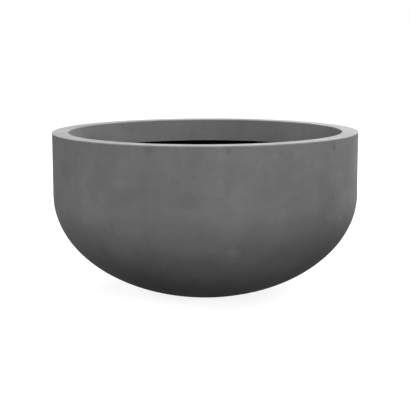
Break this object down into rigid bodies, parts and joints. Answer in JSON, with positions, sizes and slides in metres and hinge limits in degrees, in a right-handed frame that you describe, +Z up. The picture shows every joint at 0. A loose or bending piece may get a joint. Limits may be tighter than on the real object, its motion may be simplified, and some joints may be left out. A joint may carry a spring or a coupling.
{
  "type": "concrete bowl planter",
  "caption": "Large round bowl planter in cast grey concrete with a flat folded rim, a black waterproof coat inside, and a floor drain with a pull-out plug.",
  "frame": {"origin": "centre of the base on the floor, at the underside of the rubber feet", "axes": "+Z up along the bowl's axis; +X to the right and +Y away from the viewer as the bowl stands"},
  "size_m": [0.92, 0.92, 0.485],
  "materials": {
    "concrete": "matt cast concrete with a cloudy surface",
    "bitumen_coat": "brushed-on black waterproof coat",
    "black_plastic": "moulded black plastic",
    "plug_rubber": "matt moulded rubber",
    "foot_rubber": "matt moulded rubber"
  },
  "bodies": {
    "planter": {"bowl_shell": "concrete", "waterproof_lining": "bitumen_coat", "drain_sleeve": "black_plastic", "foot_pad_1": "foot_rubber", "foot_pad_2": "foot_rubber", "foot_pad_3": "foot_rubber", "foot_pad_4": "foot_rubber"},
    "plug": {"drain_plug": "plug_rubber"}
  },
  "joints": [
    {"name": "drain_plug_lift", "type": "slide", "parent": "planter", "child": "plug", "axis": [0, 0, 1], "range_m": [0, 0.5]}
  ]
}
